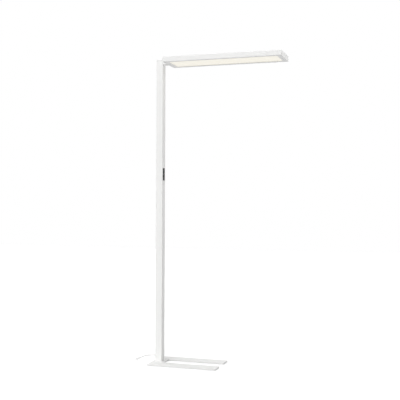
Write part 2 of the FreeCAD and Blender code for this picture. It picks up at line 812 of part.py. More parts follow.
# ---------------------------------------------------------------- control
def make_control_bezel():
    """A moulded frame that clips into the column from the front."""
    body = new_body("control_bezel", x=COLUMN_FRONT, z="control_height")
    face = new_sketch(body, "YZ_Plane")
    centred(face, "bezel_width", "bezel_length")
    pad(body, face, "bezel_proud")
    dress(body, "Fillet", "bezel_corner", lambda edge: along(edge, ALONG_X))
    dress(body, "Fillet", "bezel_edge", lambda edge: facing(edge, S.bezel_proud))
    frame = new_sketch(body, "YZ_Plane")
    centred(frame, "bezel_body_width", "bezel_body_length")
    pad(body, frame, "control_depth", reverse=True)
    hollow = new_sketch(body, "YZ_Plane", "-control_depth")
    centred(hollow, "bezel_body_width - 2 * bezel_wall", "bezel_body_length - 2 * bezel_wall")
    pocket(body, hollow, "control_depth - bezel_web", reverse=True)
    openings = new_sketch(body, "YZ_Plane", "bezel_proud")
    for step in STEPS:
        centred(openings, "key_width + 2 * key_gap", "key_height + 2 * key_gap",
                y=f"{step} * key_pitch")
    pocket(body, openings, "bezel_proud + bezel_web")
    barbs = new_sketch(body, "YZ_Plane", "-column_wall - fit_gap")
    for side in (-1, 1):
        middle = signed(side, "bezel_body_length / 2 + barb_reach / 2 - bezel_wall / 4")
        centred(barbs, "barb_width", "barb_reach + bezel_wall / 2", y=middle)
    pad(body, barbs, "barb_thickness", reverse=True)


def make_key(label, step):
    """A key with a lip behind the bezel's web."""
    body = new_body(label, x=f"{COLUMN_FRONT} - {KEY_BACK}",
                    z=f"control_height + {step} * key_pitch")
    cap = new_sketch(body, "YZ_Plane")
    centred(cap, "key_width", "key_height")
    height = f"{KEY_BACK} + bezel_proud - key_recess"
    pad(body, cap, height)
    dress(body, "Fillet", "key_edge", lambda edge: along(edge, ALONG_X))
    dress(body, "Fillet", "key_edge", lambda edge: facing(edge, number(height)))
    lip = new_sketch(body, "YZ_Plane")
    centred(lip, "key_width + 2 * key_gap + key_lip", "key_height + 2 * key_gap + key_lip")
    pad(body, lip, "key_lip", reverse=True)


def make_plunger(label, step):
    """A switch's plunger. It rests against the key's back and moves with it."""
    body = new_body(label, x=f"{COLUMN_FRONT} - {KEY_BACK} - key_lip",
                    z=f"control_height + {step} * key_pitch")
    face = new_sketch(body, "YZ_Plane")
    circle(face, "0", "0", "plunger_radius")
    pad(body, face, f"control_depth - switch_height + plunger_depth - {KEY_BACK} - key_lip",
        reverse=True)


def make_control_board():
    body = new_body("control_board", x=f"{COLUMN_FRONT} - control_depth - board_thickness",
                    z="control_height")
    face = new_sketch(body, "YZ_Plane")
    centred(face, "bezel_body_width", "bezel_body_length")
    pad(body, face, "board_thickness")


def make_tact_switches():
    """Three switches on the board, each with a well for its plunger."""
    well = S.plunger_depth + S.key_travel + 2 * S.fit_gap
    start = number(f"{COLUMN_FRONT} - control_depth")
    half = S.switch_side / 2
    switches = []
    for step in STEPS:
        switch = Part.makeBox(S.switch_height, S.switch_side, S.switch_side,
                              Vector(0, -half, -half))
        switch = switch.cut(Part.makeCylinder(S.plunger_radius + S.key_gap, well,
                                              Vector(S.switch_height - well, 0, 0), ALONG_X))
        switch.translate(Vector(start, 0, S.control_height + step * S.key_pitch))
        switches.append(switch)
    worked_out("tact_switches", switches)


# ---------------------------------------------------------------- mains inlet and driver
def make_cord_gland():
    """The strain relief moulded on the lead, with a thread through the wall."""
    neck = S.column_wall + S.nut_height
    profile = [(0, 0), (S.gland_radius, 0), (S.gland_radius, neck), (S.gland_flange, neck),
               (S.gland_flange, neck + S.flange_thickness),
               (S.gland_radius + 0.8, neck + S.flange_thickness + 1.2),
               (S.gland_tip, neck + S.gland_length), (0, neck + S.gland_length)]
    foot = Vector(S.nut_height - number(COLUMN_INSIDE), 0, S.inlet_height)
    worked_out("cord_gland", [aimed(turned(profile), foot, -ALONG_X)])


def make_gland_nut():
    nut = hexagon(S.nut_across, S.nut_height)
    nut = nut.cut(Part.makeCylinder(S.gland_radius + S.screw_gap, S.nut_height))
    foot = Vector(S.nut_height - number(COLUMN_INSIDE), 0, S.inlet_height)
    worked_out("gland_nut", [aimed(nut, foot, -ALONG_X)])


def make_inner_lead():
    """The end of the lead's jacket, and its three cores that rise to the terminal block."""
    start = S.nut_height - number(COLUMN_INSIDE)
    stub = 1.5 * S.cord_radius
    jacket = Part.makeCylinder(S.cord_radius, stub, Vector(start, 0, S.inlet_height), ALONG_X)
    middle = Vector(start + stub + S.core_radius, 0,
                    S.inlet_height + S.core_bend + S.cord_radius / 2)
    parts = [jacket]
    spread = 1.2 * S.core_radius
    for y, bend in ((-spread, S.core_bend + 2.2 * S.core_radius), (0, S.core_bend),
                    (spread, S.core_bend + 2.2 * S.core_radius)):
        parts.append(quarter_turn(Vector(start + stub, y, middle.z - bend), middle, bend,
                                  S.terminal_height, S.core_radius))
    worked_out("inner_lead", parts)


def quarter_turn(start, middle, bend, top, radius):
    """A wire that runs along +X, turns up about a middle point and ends at a height."""
    diagonal = bend * math.sqrt(0.5)
    low = Vector(middle.x, start.y, start.z)
    side = Vector(middle.x + bend, start.y, middle.z)
    path = Part.Wire([
        Part.LineSegment(start, low).toShape(),
        Part.Arc(low, Vector(middle.x + diagonal, start.y, middle.z - diagonal), side).toShape(),
        Part.LineSegment(side, Vector(side.x, start.y, top)).toShape(),
    ])
    return path.makePipeShell([Part.Wire([Part.makeCircle(radius, start, ALONG_X)])], True, False)


def make_carrier():
    """A bent sheet that stands on the foot's plate and carries the driver."""
    body = new_body("driver_carrier", z=COLUMN_FOOT)
    foot = new_sketch(body, "XY_Plane")
    back = "carrier_face + carrier_thickness"
    rectangle(foot, f"{back} - carrier_foot", back,
              "-carrier_foot_width / 2", "carrier_foot_width / 2")
    for a in (-1, 1):
        circle(foot, "0", signed(a, "carrier_screw_across / 2"),
               "carrier_screw_radius + screw_gap")
    pad(body, foot, "carrier_thickness")
    web = new_sketch(body, "YZ_Plane", "carrier_face")
    rectangle(web, "-carrier_width / 2", "carrier_width / 2", "0", CARRIER_LENGTH)
    middle = f"driver_height + driver_length / 2 - {COLUMN_FOOT}"
    for a in (-1, 1):
        circle(web, "0", f"{middle} + {signed(a, 'driver_length / 2 + driver_tab / 2')}",
               "driver_screw_radius + screw_gap")
    pad(body, web, "carrier_thickness")


def make_carrier_screws():
    """From below the plate into the carrier's foot."""
    screw = flat_screw(S.carrier_screw_head, S.carrier_screw_radius,
                       S.base_thickness + S.carrier_thickness)
    worked_out("carrier_screws", [
        aimed(screw, Vector(0, a * S.carrier_screw_across / 2, S.pad_height), ALONG_Z)
        for a in (-1, 1)])


def make_terminal_block():
    body = new_body("terminal_block", x="carrier_face", z="terminal_height")
    face = new_sketch(body, "YZ_Plane")
    rectangle(face, "-terminal_width / 2", "terminal_width / 2", "0", "terminal_length")
    pad(body, face, "terminal_depth", reverse=True)
    wells = new_sketch(body, "YZ_Plane", "-terminal_depth")
    for step in STEPS:
        for share in (0.25, 0.75):
            circle(wells, f"{step} * terminal_pitch", f"{share} * terminal_length",
                   "terminal_well")
    pocket(body, wells, "terminal_depth / 3", reverse=True)


def make_driver():
    """The driver's case with a mounting tab at each end."""
    body = new_body("led_driver", x="carrier_face", z="driver_height + driver_length / 2")
    tabs = new_sketch(body, "YZ_Plane")
    centred(tabs, "driver_width", "driver_length + 2 * driver_tab")
    for a in (-1, 1):
        circle(tabs, "0", signed(a, "driver_length / 2 + driver_tab / 2"),
               "driver_screw_radius + fit_gap")
    pad(body, tabs, "driver_tab_thickness", reverse=True)
    case = new_sketch(body, "YZ_Plane")
    centred(case, "driver_width", "driver_length")
    pad(body, case, "driver_depth", reverse=True)
    dress(body, "Chamfer", "base_chamfer", lambda edge: facing(edge, -S.driver_depth))


def make_driver_screws():
    head = 2 * S.driver_screw_radius
    screw = cap_screw(head, S.driver_screw_radius, S.driver_screw_radius,
                      S.driver_tab_thickness + S.carrier_thickness)
    middle = S.driver_height + S.driver_length / 2
    reach = S.driver_length / 2 + S.driver_tab / 2
    worked_out("driver_screws", [
        aimed(screw, Vector(S.carrier_face - S.driver_tab_thickness, 0, middle + a * reach), ALONG_X)
        for a in (-1, 1)])


def make_driver_leads():
    """Two wires from the terminal block to the driver."""
    foot = S.terminal_height + S.terminal_length
    worked_out("driver_leads", [
        Part.makeCylinder(S.core_radius, S.driver_height - foot,
                          Vector(S.carrier_face - S.driver_depth / 2, y, foot))
        for y in (-S.terminal_width / 4, S.terminal_width / 4)])


def rising_wire(offset, bend, height, end, radius):
    """A wire that rises from the driver and turns towards +X at a height."""
    low = Vector(offset, 0, S.driver_height + S.driver_length)
    side = Vector(offset, 0, height - bend)
    diagonal = bend * (1 - math.sqrt(0.5))
    top = Vector(offset + bend, 0, height)
    edges = [Part.LineSegment(low, side).toShape(),
             Part.Arc(side, Vector(offset + diagonal, 0, height - diagonal), top).toShape()]
    if end > top.x + TOUCH:
        edges.append(Part.LineSegment(top, Vector(end, 0, height)).toShape())
    ring = Part.Wire([Part.makeCircle(radius, low, ALONG_Z)])
    return Part.Wire(edges).makePipeShell([ring], True, False)


def make_wires():
    """The head's supply cable and the control's cable, from the driver."""
    middle = number(f"{HEAD_BOTTOM} + {NECK_MIDDLE}")
    worked_out("head_cable", [rising_wire(
        S.wire_offset, S.wire_bend, middle, number(f"{HEAD_START} + connector_start"),
        S.wire_radius)])
    board = number(f"{COLUMN_FRONT} - control_depth - board_thickness")
    worked_out("control_cable", [rising_wire(
        S.control_wire_offset, board - S.control_wire_offset,
        S.control_height - S.control_wire_drop, board, S.control_wire_radius)])


# ---------------------------------------------------------------- mains lead
def sweep(route, radius, label=None):
    """A round tube along straight runs joined by tangent arcs. An arc's radius is 0.45 of the
    shorter run beside it, divided by the tangent of half the turn."""
    points = [Vector(*point) for point in route]
    edges, start, bends = [], points[0], []
    for before, corner, after in zip(points, points[1:], points[2:]):
        into, out = corner - before, after - corner
        reach = 0.45 * min(into.Length, out.Length)
        half = into.getAngle(out) / 2
        into.normalize()
        out.normalize()
        bend = reach / math.tan(half)
        bends.append(bend)
        first, last = corner - into * reach, corner + out * reach
        inwards = (out - into).normalize()
        middle = corner + inwards * (bend / math.cos(half) - bend)
        edges += [Part.LineSegment(start, first).toShape(), Part.Arc(first, middle, last).toShape()]
        start = last
    edges.append(Part.LineSegment(start, points[-1]).toShape())
    path = Part.Wire(edges)
    ring = Part.Wire([Part.makeCircle(radius, points[0], points[1] - points[0])])
    tube = path.makePipeShell([ring], True, False)
    share = tube.Volume / (math.pi * radius ** 2 * path.Length)
    if label:
        print(f"{label}: {path.Length:.0f} mm, volume {share:.4f} of section times length")
        print("  arc radii in diameters:", " ".join(f"{b / radius / 2:.1f}" for b in bends))
    if abs(share - 1) > 0.01:
        raise ValueError("a tube's volume doesn't match its length")
    return tube


def beside_hank():
    """The hank's own frame: its X runs away from the lamp."""
    turn = math.radians(S.hank_bearing)
    foot = Vector(math.cos(turn), math.sin(turn), 0) * S.hank_distance
    return FreeCAD.Placement(foot, FreeCAD.Rotation(ALONG_Z, S.hank_bearing))


def tie_section(offset):
    """A face around the cords at the waist: the hull of five of them, let out by an offset."""
    r = S.cord_radius
    row, low = S.hank_waist - r, r + S.tie_thickness
    centres = [(row, low), (-row, low), (-row, 3 * r), (r, 5 * r), (row, 5 * r)]
    points = [Vector(-S.tie_width / 2, y, z) for y, z in centres]
    return Part.Face(Part.makePolygon(points + points[:1]).makeOffset2D(r + offset, 0))


def make_cord_hank():
    """The outer shape of four turns in two layers, pressed together at the waist by the tie.

    Each side is an arc that touches both end circles, which sets the side's radius.
    """
    height = 4 * S.cord_radius
    half, end = S.hank_half_length, S.hank_loop + 3 * S.cord_radius
    waist = S.hank_waist
    side = (half ** 2 + waist ** 2 - end ** 2) / (2 * (end - waist))
    lean = math.atan2(waist + side, half)
    x, y = half - end * math.cos(lean), end * math.sin(lean)
    ends = [Part.Arc(Vector(a * x, y, 0), Vector(a * (half + end), 0, 0),
                     Vector(a * x, -y, 0)).toShape() for a in (-1, 1)]
    sides = [Part.Arc(Vector(-x, b * y, 0), Vector(0, b * waist, 0),
                      Vector(x, b * y, 0)).toShape() for b in (-1, 1)]
    hank = Part.Face(Part.Wire(Part.__sortEdges__(ends + sides))).extrude(Vector(0, 0, height))
    rims = [edge for edge in hank.Edges if not upright(edge)]
    hank = hank.makeChamfer(S.cord_radius / 2, rims)
    reach = Vector(S.tie_width, 0, 0)
    around = Part.makeBox(S.tie_width, 2 * end, 2 * height,
                          Vector(-S.tie_width / 2, -end, -height / 2))
    worked_out("cord_hank", [hank.cut(around.cut(tie_section(0).extrude(reach)))], beside_hank())


def make_cord_tie():
    """A band around the hank's waist and the end that leaves for the plug."""
    band = tie_section(S.tie_thickness).cut(tie_section(0))
    worked_out("cord_tie", [band.extrude(Vector(S.tie_width, 0, 0))], beside_hank())


def make_plug():
    """A moulded plug in line with the hank, lying on the floor, and its two pins."""
    r, sleeve, length = S.plug_radius, S.plug_sleeve, S.plug_length
    profile = [(0, 0), (S.gland_tip, 0), (0.36 * r, sleeve - 2), (0.6 * r, sleeve),
               (r, sleeve + 0.3 * length), (r, sleeve + length - 1.5),
               (r - 1.5, sleeve + length), (0, sleeve + length)]
    frame = beside_hank()
    start = frame.multVec(Vector(S.plug_start, 0, r))
    outwards = frame.Rotation.multVec(ALONG_X)
    worked_out("plug_body", [aimed(turned(profile), start, outwards)])
    tip = 0.8
    pin = turned([(0, 0), (S.pin_radius, 0), (S.pin_radius, S.pin_length - tip),
                  (S.pin_radius - tip, S.pin_length), (0, S.pin_length)])
    across = frame.Rotation.multVec(Vector(0, S.pin_spacing / 2, 0))
    foot = start + outwards * (sleeve + length)
    worked_out("plug_pins", [aimed(pin, foot + across * side, outwards) for side in (-1, 1)])


def make_mains_cord():
    worked_out("mains_cord", [sweep(LEAD_ROUTE, S.cord_radius, "lead to the hank"),
                              sweep(TAIL_ROUTE, S.cord_radius, "hank to the plug")])


make_base_plate()
make_foot_screws()
make_floor_pads()
make_column()
make_column_cap()
make_neck()
make_clamp_plate("column_clamp_plate", f"{COLUMN_INSIDE} - plate_thickness")
make_clamp_plate("head_clamp_plate", f"{HEAD_START} + head_wall")
make_neck_screws("column_neck_screws", number(f"{COLUMN_INSIDE} - plate_thickness"),
                 ALONG_X, S.column_wall)
make_neck_screws("head_neck_screws", number(f"{HEAD_START} + head_wall + plate_thickness"),
                 -ALONG_X, S.head_wall)
make_head_housing()
make_top_cover()
make_cover_screws()
make_sheet("opal_diffuser", "0", "opal_thickness", "head_floor")
make_sheet("light_guide", "guide_inset", "guide_thickness", GUIDE_BOTTOM)
make_sheet("reflector_sheet", "guide_inset", "reflector_thickness", REFLECTOR_BOTTOM)
make_foam_strips()
make_edge_strips()
make_gear_tray()
make_tray_screws()
make_uplight_boards()
make_uplight_lens()
block("head_connector", "connector_length", "connector_width", "connector_height",
      f"{HEAD_START} + connector_start", f"{HEAD_BOTTOM} + head_floor")
make_light_leads()
make_control_bezel()
for kind, step in (("brighter", 1), ("power", 0), ("dimmer", -1)):
    make_key(f"key_{kind}", step)
    make_plunger(f"plunger_{kind}", step)
make_control_board()
make_tact_switches()
make_cord_gland()
make_gland_nut()
make_inner_lead()
make_carrier()
make_carrier_screws()
make_terminal_block()
make_driver()
make_driver_screws()
make_driver_leads()
make_wires()
make_mains_cord()
make_cord_hank()
make_cord_tie()
make_plug()

doc.recompute()
for piece in doc.Objects:
    if {"Invalid", "Error"} & set(piece.State):
        raise ValueError(f"{piece.Label} failed: {piece.State}")
for piece in NODES:
    if piece.Shape.isNull() or not piece.Shape.isValid():
        raise ValueError(f"{piece.Label} has no valid shape")
os.makedirs("parts", exist_ok=True)
for piece in NODES:
    piece.Shape.exportStep(f"parts/{piece.Label}.step")
print(f"{len(NODES)} nodes, {sum(len(piece.Shape.Solids) for piece in NODES)} solids")
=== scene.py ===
"""The looks of an office floor lamp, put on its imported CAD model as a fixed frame.

Metres. The origin is on the floor on the column's axis, +Z is up, and +X runs from the column
towards the free end of the head. Each operator makes one piece or one group of like pieces.
"""

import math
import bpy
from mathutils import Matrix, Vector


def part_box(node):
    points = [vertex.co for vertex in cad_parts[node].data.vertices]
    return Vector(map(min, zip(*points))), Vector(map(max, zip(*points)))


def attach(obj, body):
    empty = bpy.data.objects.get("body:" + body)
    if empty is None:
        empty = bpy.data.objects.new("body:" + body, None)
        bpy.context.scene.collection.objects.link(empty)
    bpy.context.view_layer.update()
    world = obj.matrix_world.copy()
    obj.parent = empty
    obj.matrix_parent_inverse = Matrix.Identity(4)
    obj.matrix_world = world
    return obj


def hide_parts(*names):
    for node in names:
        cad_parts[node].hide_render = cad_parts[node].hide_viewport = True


bl_info = {
    "name": "Office Floor Lamp",
    "version": (1, 0, 0),
    "blender": (4, 5, 0),
    "location": "3D View > Sidebar > Floor Lamp",
    "description": "Finishes, lead, keys and studio of an office floor lamp",
    "category": "Object",
}

import bpy
import numpy as np
from bpy.props import FloatProperty, FloatVectorProperty, IntProperty, PointerProperty
from mathutils import Matrix, Vector

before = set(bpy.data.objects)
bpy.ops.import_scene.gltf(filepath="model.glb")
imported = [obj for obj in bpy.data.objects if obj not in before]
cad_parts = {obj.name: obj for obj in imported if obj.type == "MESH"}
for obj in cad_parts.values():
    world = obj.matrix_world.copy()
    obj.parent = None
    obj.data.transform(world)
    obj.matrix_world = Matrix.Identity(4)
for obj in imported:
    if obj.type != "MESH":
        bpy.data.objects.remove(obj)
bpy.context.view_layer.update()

# The lead from its strain relief to the hank, and from the hank to the plug.
LEAD_ROUTE = (
    (-0.0495, 0, 0.045), (-0.073, 0, 0.045), (-0.098, -0.002, 0.039), (-0.121, -0.004, 0.0285),
    (-0.1415, -0.005, 0.0155), (-0.160, -0.001, 0.0062), (-0.174, 0.011, 0.0031),
    (-0.181, 0.030, 0.0031), (-0.180, 0.052, 0.0031), (-0.175, 0.077, 0.0031),
    (-0.171, 0.103, 0.0031), (-0.171, 0.129, 0.0031), (-0.168, 0.153, 0.0031),
    (-0.157, 0.173, 0.0031), (-0.1425, 0.1895, 0.0031), (-0.1295, 0.2055, 0.0031),
    (-0.119, 0.222, 0.0031), (-0.116, 0.2404, 0.0031),
)
TAIL_ROUTE = (
    (-0.116, 0.2404, 0.0093), (-0.1139, 0.2552, 0.012), (-0.1125, 0.2696, 0.0152),
    (-0.1159, 0.2843, 0.0156), (-0.121, 0.3006, 0.0156), (-0.1241, 0.3166, 0.0166),
    (-0.1256, 0.331, 0.018), (-0.1302, 0.3431, 0.018),
)

# How far out from the innermost turn and up from the floor the hank's turns lie, in whole
# diameters of the lead, at the start of each round.
TURN_OUTWARDS = (1, 0, 0, 1, 1, 1, 1)
TURN_UPWARDS = (0, 0, 1, 1, 1, 1, 1)

# The strain relief's thread and flange, as (radius, distance from the thread's end).
FLANGE_PROFILE = (
    (0, 0), (0.006, 0), (0.006, 0.0059), (0.0081, 0.006), (0.0085, 0.0064), (0.0085, 0.0081),
    (0.0081, 0.0085), (0.0069, 0.0087),
)
# The plug's outline and its rounded rim, as (distance, radius) in millimetres, and where it
# starts: along the hank from its middle, and above the floor.
PLUG_PROFILE = (
    (0, 4.2), (4, 4.3), (22, 6.2), (27, 7.6), (29.5, 11), (33, 14.6), (38.8, 17.9), (44, 18),
    (62, 18), (63.5, 17.2), (64, 16.2),
)
PLUG_RIM = ((62.6, 17.9), (63.1, 17.6), (63.5, 17.2), (63.8, 16.7), (64, 16))
PLUG_START = 0.067
PLUG_HEIGHT = 0.018

# Half the length and half the width of a bar on a key, and how high the marks stand.
MARK_LENGTH = 0.0036
MARK_WIDTH = 0.00055
MARK_HEIGHT = 0.0003

# From one row to the next of the tiny prisms in the lit panels.
PRISM_PITCH = 0.0024

# The suns by the setting that holds their strength: where they shine from, and how wide their
# discs are in degrees. Then the side lamp's place, aim, width, and cone in degrees.
SUNS = {
    "front": ((-1.2, -4.4, 1.5), 40),
    "top": ((-0.6, -1.2, 5.0), 60),
    "back": ((-3.8, 2.6, 1.5), 30),
}
SIDE_LAMP = ((4.4, 0.2, 1.85), (0, 0, 1.64), 1.2, 90)

# The camera's place, its turn, rise and roll in degrees, its lens and sensor in millimetres,
# and how far it sees.
CAMERA_PLACE = (1.7196, -4.5310, 1.0073)
CAMERA_ANGLES = (17.7612, 0.4806, -0.2156)
FOCAL_LENGTH = 67.35
SENSOR_WIDTH = 36.0
VIEW_DEPTH = 60

FLOOR_REACH = 12.0
SHARP_ANGLE = math.radians(40)


# ---------------------------------------------------------------- what a user would change
class LampFinish(bpy.types.PropertyGroup):
    """Colours of the lamp's finishes."""

    paint: FloatVectorProperty(
        name="Paint", description="Powder coat of the foot, the column and the head",
        subtype="COLOR", size=3, min=0, max=1, default=(0.85, 0.85, 0.84))
    opal: FloatVectorProperty(
        name="Opal Sheet", description="Body colour of the sheet that shines down",
        subtype="COLOR", size=3, min=0, max=1, default=(0.6, 0.58, 0.52))
    glow: FloatVectorProperty(
        name="Light", description="Colour of the light that the sheet and the lens give off",
        subtype="COLOR", size=3, min=0, max=1, default=(1.0, 0.95, 0.82))
    glow_strength: FloatProperty(
        name="Glow", description="How strongly the opal sheet shines", min=0, max=5, default=0.42)
    control: FloatVectorProperty(
        name="Control", description="Moulding round the keys",
        subtype="COLOR", size=3, min=0, max=1, default=(0.016, 0.016, 0.018))
    keys: FloatVectorProperty(
        name="Keys", description="Key caps",
        subtype="COLOR", size=3, min=0, max=1, default=(0.023, 0.023, 0.025))
    jacket: FloatVectorProperty(
        name="Lead", description="Jacket of the lead, its plug and its strain relief",
        subtype="COLOR", size=3, min=0, max=1, default=(0.86, 0.86, 0.85))


class LeadSizes(bpy.types.PropertyGroup):
    """Sizes of the mains lead and the hank of its spare length."""

    diameter: FloatProperty(
        name="Diameter", description="Thickness of the lead", subtype="DISTANCE",
        unit="LENGTH", min=0.003, max=0.012, default=0.0062)
    distance: FloatProperty(
        name="Hank Distance", description="From the lamp's axis to the middle of the hank",
        subtype="DISTANCE", unit="LENGTH", min=0.1, max=1, default=0.3)
    bearing: FloatProperty(
        name="Hank Bearing", description="Direction of the hank, turned from +X",
        subtype="ANGLE", unit="ROTATION", default=math.radians(110.78))
    half_length: FloatProperty(
        name="Half Length", description="Half the length of the hank's straight part",
        subtype="DISTANCE", unit="LENGTH", min=0.03, max=0.2, default=0.052)
    loop: FloatProperty(
        name="Loop", description="Radius of the innermost fold at each end of the hank",
        subtype="DISTANCE", unit="LENGTH", min=0.01, max=0.06, default=0.021)
    waist: FloatProperty(
        name="Waist", description="From the hank's middle to its innermost turn, at the tie",
        subtype="DISTANCE", unit="LENGTH", min=0.001, max=0.02, default=0.0033)
    turns: IntProperty(name="Turns", description="Turns in the hank", min=1, max=6, default=4)


class StudioSettings(bpy.types.PropertyGroup):
    """The floor and the light of the studio."""

    floor: FloatVectorProperty(
        name="Floor", description="Colour of the pale floor",
        subtype="COLOR", size=3, min=0, max=1, default=(0.62, 0.62, 0.62))
    floor_lift: FloatProperty(
        name="Floor Lift", description="How much whiter than lit the floor is shown",
        min=0, max=1, default=0.5)
    front: FloatProperty(
        name="Front Light", description="Soft light from beside the camera, 1 for full white",
        min=0, max=2, default=0.455)
    top: FloatProperty(
        name="Top Light", description="Soft light from above, 1 for full white",
        min=0, max=2, default=0.55)
    back: FloatProperty(
        name="Back Light", description="Weak soft light from behind, 1 for full white",
        min=0, max=2, default=0.2)
    side_power: FloatProperty(
        name="Side Lamp", description="Soft lamp off the head's free end", subtype="POWER",
        unit="POWER", min=0, default=14.8)
    sky: FloatProperty(
        name="Surroundings", description="Even light from all sides", min=0, max=2, default=0.2)


# ---------------------------------------------------------------- meshes from grids
def smooth_mesh(name, points, faces):
    """A mesh shaded smooth, apart from the edges that bend by more than SHARP_ANGLE."""
    mesh = bpy.data.meshes.new(name)
    mesh.from_pydata(points, [], faces)
    mesh.polygons.foreach_set("use_smooth", np.ones(len(mesh.polygons), bool))
    mesh.set_sharp_from_angle(angle=SHARP_ANGLE)
    mesh.update()
    return mesh


def skin(name, grid):
    """A closed skin over a grid of points, whose columns run round and whose rows run along.

    Point (i, j) joins (i + 1, j) and (i, j + 1), the last column joins the first, and the first
    and the last row are each closed by one face. The signed volume, a sixth of the sum of the
    triple products of a fan of triangles, tells which way the faces turn.
    """
    rows, columns = grid.shape[:2]
    index = np.arange(rows * columns).reshape(rows, columns)
    here, beside = index[:-1], np.roll(index, -1, axis=1)[:-1]
    above, across = index[1:], np.roll(index, -1, axis=1)[1:]
    quads = np.stack([here, beside, across, above], axis=-1).reshape(-1, 4)
    points = grid.reshape(-1, 3)
    corner = points[quads] - points.mean(axis=0)
    fan = [np.einsum("ij,ij->i", corner[:, 0], np.cross(corner[:, k], corner[:, k + 1]))
           for k in (1, 2)]
    faces = quads.tolist() + [index[0, ::-1].tolist(), index[-1].tolist()]
    if np.sum(fan) < 0:
        faces = [face[::-1] for face in faces]
    return smooth_mesh(name, points.tolist(), faces)


def joined(name, meshes):
    """The shells of several meshes as one mesh, which takes their place."""
    points, faces = [], []
    for mesh in meshes:
        start = len(points)
        points += [vertex.co[:] for vertex in mesh.vertices]
        faces += [[start + i for i in face.vertices] for face in mesh.polygons]
        bpy.data.meshes.remove(mesh)
    return smooth_mesh(name, points, faces)


def add_piece(name, meshes, material, body):
    """One object made of one or more meshes, painted and riding on a CAD body."""
    mesh = joined(name, meshes) if len(meshes) > 1 else meshes[0]
    piece = bpy.data.objects.new(name, mesh)
    bpy.context.scene.collection.objects.link(piece)
    mesh.materials.append(material)
    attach(piece, body)
    return piece


def full_turn(count):
    """Evenly spaced angles once round, without the first one again at the end."""
    return np.linspace(0, 2 * math.pi, count, endpoint=False)


def superellipse(turn, power):
    """How far |y|^n + |z|^n = 1 reaches in a direction: (|cos a|^n + |sin a|^n)^(-1/n)."""
    return (np.abs(np.cos(turn)) ** power + np.abs(np.sin(turn)) ** power) ** (-1 / power)


def smooth_step(t):
    """0 below 0, 1 above 1, and 3t^2 - 2t^3 between."""
    t = np.clip(t, 0, 1)
    return t * t * (3 - 2 * t)


def turned_along(radius, distance, foot, direction):
    """A skin round a level line from a foot point, with a row of radii at each distance.

    Each point is foot + distance * direction + radius * (cos a * side + sin a * up), with side
    level and at right angles to the direction, and up at right angles to both.
    """
    ahead = np.asarray(direction, float)
    side = np.array([-ahead[1], ahead[0], 0.0])
    up = np.cross(ahead, side)
    turn = full_turn(radius.shape[1])
    ring = np.cos(turn)[:, None] * side + np.sin(turn)[:, None] * up
    return foot + distance[:, None, None] * ahead + radius[:, :, None] * ring


# ---------------------------------------------------------------- materials
def new_material(name):
    """A new material, its nodes and its links. It starts as a plain shader and an output."""
    material = bpy.data.materials.new(name)
    material.use_nodes = True
    return material, material.node_tree.nodes, material.node_tree.links


def noise(nodes, links, stretch, scale, detail=3.0):
    """Noise over the object's own coordinates, stretched along its axes."""
    where = nodes.new("ShaderNodeTexCoord")
    turn = nodes.new("ShaderNodeMapping")
    turn.inputs["Scale"].default_value = stretch
    grain = nodes.new("ShaderNodeTexNoise")
    grain.inputs["Scale"].default_value = scale
    grain.inputs["Detail"].default_value = detail
    links.new(where.outputs["Object"], turn.inputs["Vector"])
    links.new(turn.outputs["Vector"], grain.inputs["Vector"])
    return grain.outputs["Fac"]


def ramp(nodes, links, value, low, high, start=0.3, end=0.7):
    """A value carried over to a range."""
    carry = nodes.new("ShaderNodeMapRange")
    carry.inputs["From Min"].default_value = start
    carry.inputs["From Max"].default_value = end
    carry.inputs["To Min"].default_value = low
    carry.inputs["To Max"].default_value = high
    links.new(value, carry.inputs["Value"])
    return carry.outputs["Result"]


def tint(nodes, links, value, colour, spread):
    """A colour that gets a little lighter and darker with a value."""
    mix = nodes.new("ShaderNodeMix")
    mix.data_type = "RGBA"
    mix.inputs["A"].default_value = (*[c * (1 - spread) for c in colour], 1)
    mix.inputs["B"].default_value = (*[min(1, c * (1 + spread)) for c in colour], 1)
    links.new(value, mix.inputs["Factor"])
    return mix.outputs["Result"]


def relief(nodes, links, height, distance, strength=1.0, below=None):
    """A bump from a height, on top of another one."""
    bump = nodes.new("ShaderNodeBump")
    bump.inputs["Distance"].default_value = distance
    bump.inputs["Strength"].default_value = strength
    links.new(height, bump.inputs["Height"])
    if below:
        links.new(below, bump.inputs["Normal"])
    return bump.outputs["Normal"]


def finish(name, colour, roughness, grain, depth, stretch=(1, 1, 1), spread=0.02,
           waves=(3, 0), **shader_values):
    """A finish with a fine grain, a slow change of tone and, where asked, slow waves.

    Waves are given by their scale and depth. Scales are in features a metre, and depths are in
    metres. The tone changes with the waves' scale, and the roughness by 12% with the grain's.
    """
    rougher = 0.12
    material, nodes, links = new_material(name)
    shader = nodes["Principled BSDF"]
    fine = noise(nodes, links, stretch, grain)
    scale, wave_depth = waves
    slow = noise(nodes, links, (1, 1, 1), scale, 2.0)
    links.new(tint(nodes, links, slow, colour, spread), shader.inputs["Base Color"])
    links.new(ramp(nodes, links, fine, roughness * (1 - rougher), roughness * (1 + rougher)),
              shader.inputs["Roughness"])
    normal = relief(nodes, links, fine, depth)
    if wave_depth:
        normal = relief(nodes, links, slow, wave_depth, below=normal)
    links.new(normal, shader.inputs["Normal"])
    for key, value in shader_values.items():
        shader.inputs[key.replace("_", " ")].default_value = value
    return material


def dress_nodes(material, *names):
    """Put a material on CAD nodes."""
    for name in names:
        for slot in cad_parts[name].material_slots:
            slot.material = material


# ---------------------------------------------------------------- studio
def add_lamp(light, place, aim):
    """A lamp aimed at a point."""
    lamp = bpy.data.objects.new(light.name, light)
    lamp.location = place
    lamp.rotation_euler = (Vector(aim) - Vector(place)).to_track_quat("-Z", "Y").to_euler()
    bpy.context.scene.collection.objects.link(lamp)


